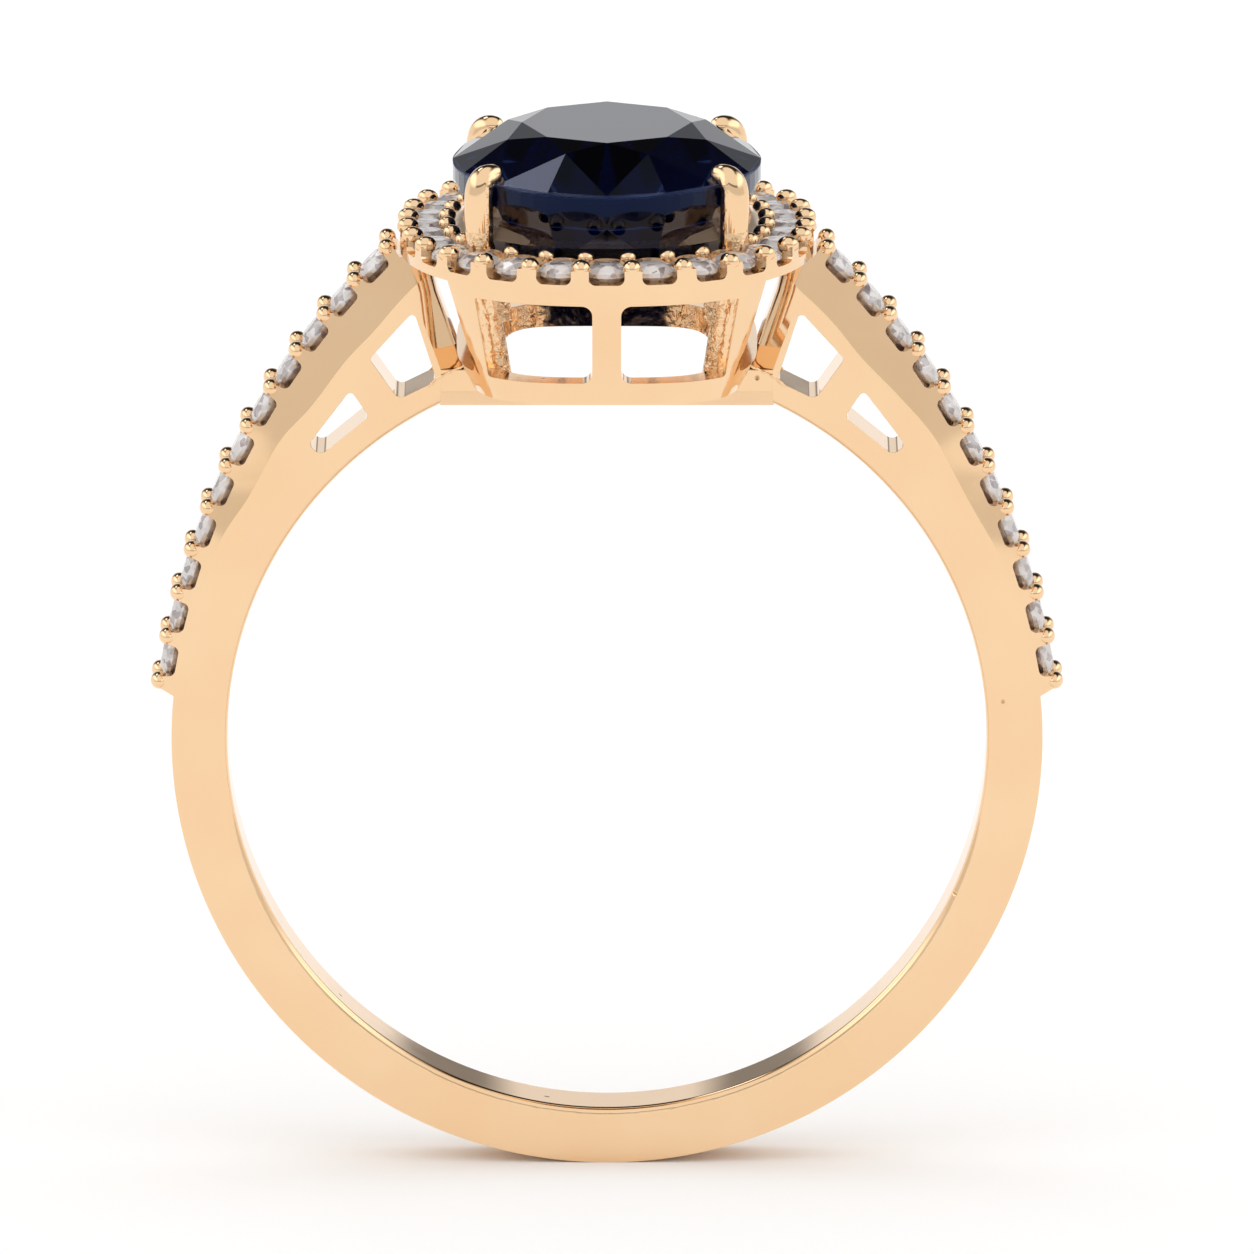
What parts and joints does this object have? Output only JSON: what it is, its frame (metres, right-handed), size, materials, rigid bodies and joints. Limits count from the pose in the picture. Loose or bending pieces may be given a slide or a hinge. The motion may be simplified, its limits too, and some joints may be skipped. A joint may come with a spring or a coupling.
{
  "type": "engagement ring",
  "caption": "Cathedral-shoulder engagement ring: oval blue faceted stone in four claws, cushion-oval halo, pierced shoulders set with small diamonds, flat-sided band.",
  "frame": {"origin": "centre of the finger hole, half way along its width", "axes": "+Z from the finger hole to the centre stone's table, +Y along the finger hole's axis, +X across the ring"},
  "size_m": [0.0208, 0.0114, 0.0241],
  "materials": {
    "band_gold": "polished warm yellow gold, lightly worn on the flat sides",
    "setting_gold": "polished yellow gold outside, fine cast texture inside",
    "claw_gold": "polished yellow gold wire with rounded tips",
    "blue_stone": "faceted, polished, very dark blue",
    "small_diamond": "faceted, polished, colourless"
  },
  "bodies": {
    "root": {"shank": "band_gold", "under_bridge": "setting_gold", "gallery": "setting_gold", "halo_seat": "setting_gold", "claw_front_left": "claw_gold", "claw_front_right": "claw_gold", "claw_back_left": "claw_gold", "claw_back_right": "claw_gold", "center_sapphire": "blue_stone", "halo_diamond_01": "small_diamond", "halo_diamond_02": "small_diamond", "halo_diamond_03": "small_diamond", "halo_diamond_04": "small_diamond", "halo_diamond_05": "small_diamond", "halo_diamond_06": "small_diamond", "halo_diamond_07": "small_diamond", "halo_diamond_08": "small_diamond", "halo_diamond_09": "small_diamond", "halo_diamond_10": "small_diamond", "halo_diamond_11": "small_diamond", "halo_diamond_12": "small_diamond", "halo_diamond_13": "small_diamond", "halo_diamond_14": "small_diamond", "halo_diamond_15": "small_diamond", "halo_diamond_16": "small_diamond", "halo_diamond_17": "small_diamond", "halo_diamond_18": "small_diamond", "halo_diamond_19": "small_diamond", "halo_diamond_20": "small_diamond", "halo_diamond_21": "small_diamond", "halo_diamond_22": "small_diamond", "halo_diamond_23": "small_diamond", "halo_diamond_24": "small_diamond", "halo_diamond_25": "small_diamond", "halo_diamond_26": "small_diamond", "halo_diamond_27": "small_diamond", "halo_diamond_28": "small_diamond", "left_shoulder_diamond_01": "small_diamond", "left_shoulder_diamond_02": "small_diamond", "left_shoulder_diamond_03": "small_diamond", "left_shoulder_diamond_04": "small_diamond", "left_shoulder_diamond_05": "small_diamond", "left_shoulder_diamond_06": "small_diamond", "left_shoulder_diamond_07": "small_diamond", "left_shoulder_diamond_08": "small_diamond", "left_shoulder_diamond_09": "small_diamond", "left_shoulder_diamond_10": "small_diamond", "left_shoulder_diamond_11": "small_diamond", "right_shoulder_diamond_01": "small_diamond", "right_shoulder_diamond_02": "small_diamond", "right_shoulder_diamond_03": "small_diamond", "right_shoulder_diamond_04": "small_diamond", "right_shoulder_diamond_05": "small_diamond", "right_shoulder_diamond_06": "small_diamond", "right_shoulder_diamond_07": "small_diamond", "right_shoulder_diamond_08": "small_diamond", "right_shoulder_diamond_09": "small_diamond", "right_shoulder_diamond_10": "small_diamond", "right_shoulder_diamond_11": "small_diamond"}
  },
  "joints": []
}
